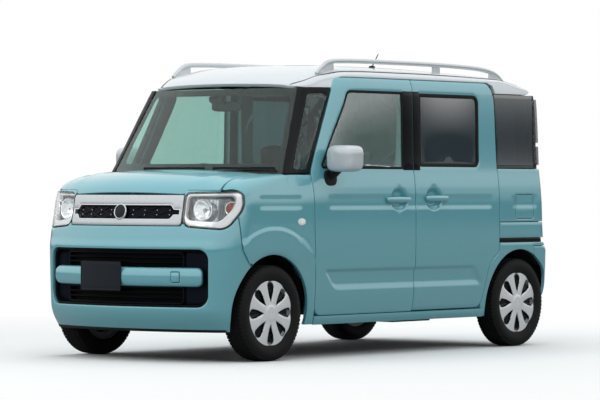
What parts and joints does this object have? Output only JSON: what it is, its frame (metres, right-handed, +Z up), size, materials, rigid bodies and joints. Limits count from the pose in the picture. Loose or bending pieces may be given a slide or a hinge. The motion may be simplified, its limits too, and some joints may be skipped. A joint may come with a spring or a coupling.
{
  "type": "kei car",
  "caption": "Tall boxy small passenger car with hinged front doors, sliding rear doors, bonnet, tailgate, roof rails and steered front wheels.",
  "frame": {"origin": "on the ground below the middle of the length and width", "axes": "+X forward, +Y to the left, +Z up"},
  "size_m": [3.395, 1.845, 1.8237],
  "materials": {
    "paint": "glossy pale blue-green",
    "white": "glossy white",
    "black": "satin black",
    "grey": "satin grey",
    "silver": "silver paint",
    "steel": "bare metal",
    "seat": "woven cloth",
    "glass": "clear green tint",
    "privacy": "dark tint",
    "lamp": "red lens",
    "chassis": "black underbody paint",
    "tyre": "matte black rubber"
  },
  "bodies": {
    "body": {"floor_pan": "grey", "body_sides": "paint", "roof": "white", "fenders": "paint", "front_bumper": "paint", "lower_grille": "black", "upper_grille": "silver", "headlamp_housings": "silver", "headlamp_lenses": "glass", "clear_glass": "glass", "privacy_glass": "privacy", "rear_bumper": "paint", "tail_lamps": "lamp", "roof_rails": "grey", "aerial": "black", "front_wipers": "black", "dashboard": "black", "front_seats": "seat", "rear_seats": "seat", "engine": "steel", "front_subframe": "chassis", "rear_axle": "chassis", "rear_dampers": "grey", "fuel_tank": "chassis", "exhaust": "steel", "wheel_liners": "black", "sliding_doors": "paint", "hinges": "steel"},
    "left_door": {"front_door_left": "paint", "front_door_glass_left": "glass", "mirror_left": "white"},
    "right_door": {"front_door_right": "paint", "front_door_glass_right": "glass", "mirror_right": "white"},
    "bonnet_lid": {"bonnet": "paint"},
    "rear_gate": {"tailgate": "paint", "tailgate_glass": "privacy"},
    "fuel_lid": {"fuel_flap": "paint"},
    "hand_wheel": {"steering_wheel": "black"},
    "left_knuckle": {"knuckle_left": "steel"},
    "right_knuckle": {"knuckle_right": "steel"},
    "front_left_wheel": {"tyre_front_left": "tyre", "wheel_front_left": "silver"},
    "front_right_wheel": {"tyre_front_right": "tyre", "wheel_front_right": "silver"},
    "rear_left_wheel": {"tyre_rear_left": "tyre", "wheel_rear_left": "silver"},
    "rear_right_wheel": {"tyre_rear_right": "tyre", "wheel_rear_right": "silver"}
  },
  "joints": [
    {"name": "steer_left", "type": "hinge", "parent": "body", "child": "left_knuckle", "pos_m": [1.1555, 0.59, 0.2785], "axis": [0, -0.1564, 0.9877], "range_deg": [-34, 34]},
    {"name": "steer_right", "type": "hinge", "parent": "body", "child": "right_knuckle", "pos_m": [1.1555, -0.59, 0.2785], "axis": [0, 0.1564, 0.9877], "range_deg": [-34, 34]},
    {"name": "steering_wheel_turn", "type": "hinge", "parent": "body", "child": "hand_wheel", "pos_m": [0.4655, -0.33, 0.985], "axis": [-0.8988, 0, 0.4384], "range_deg": [-560, 560]},
    {"name": "front_left_wheel_turn", "type": "hinge", "parent": "left_knuckle", "child": "front_left_wheel", "pos_m": [1.1555, 0.648, 0.2785], "axis": [0, 1, 0], "continuous": true},
    {"name": "front_right_wheel_turn", "type": "hinge", "parent": "right_knuckle", "child": "front_right_wheel", "pos_m": [1.1555, -0.648, 0.2785], "axis": [0, 1, 0], "continuous": true},
    {"name": "rear_left_wheel_turn", "type": "hinge", "parent": "body", "child": "rear_left_wheel", "pos_m": [-1.3045, 0.648, 0.2785], "axis": [0, 1, 0], "continuous": true},
    {"name": "rear_right_wheel_turn", "type": "hinge", "parent": "body", "child": "rear_right_wheel", "pos_m": [-1.3045, -0.648, 0.2785], "axis": [0, 1, 0], "continuous": true},
    {"name": "left_door_hinge", "type": "hinge", "parent": "body", "child": "left_door", "pos_m": [0.7015, 0.7205, 0.7], "axis": [0, 0, -1], "range_deg": [0, 65]},
    {"name": "right_door_hinge", "type": "hinge", "parent": "body", "child": "right_door", "pos_m": [0.7015, -0.7205, 0.7], "axis": [0, 0, 1], "range_deg": [0, 65]},
    {"name": "bonnet_hinge", "type": "hinge", "parent": "body", "child": "bonnet_lid", "pos_m": [1.1755, 0, 1.072], "axis": [0, -1, 0], "range_deg": [0, 50]},
    {"name": "tailgate_hinge", "type": "hinge", "parent": "body", "child": "rear_gate", "pos_m": [-1.5355, 0, 1.641], "axis": [0, 1, 0], "range_deg": [0, 80]},
    {"name": "fuel_flap_hinge", "type": "hinge", "parent": "body", "child": "fuel_lid", "pos_m": [-1.2665, 0.7305, 0.885], "axis": [0, 0, -1], "range_deg": [0, 75]}
  ],
  "couplings": [
    {"joint": "steer_right", "follows": "steer_left", "ratio": 1},
    {"joint": "steering_wheel_turn", "follows": "steer_left", "ratio": 16}
  ]
}
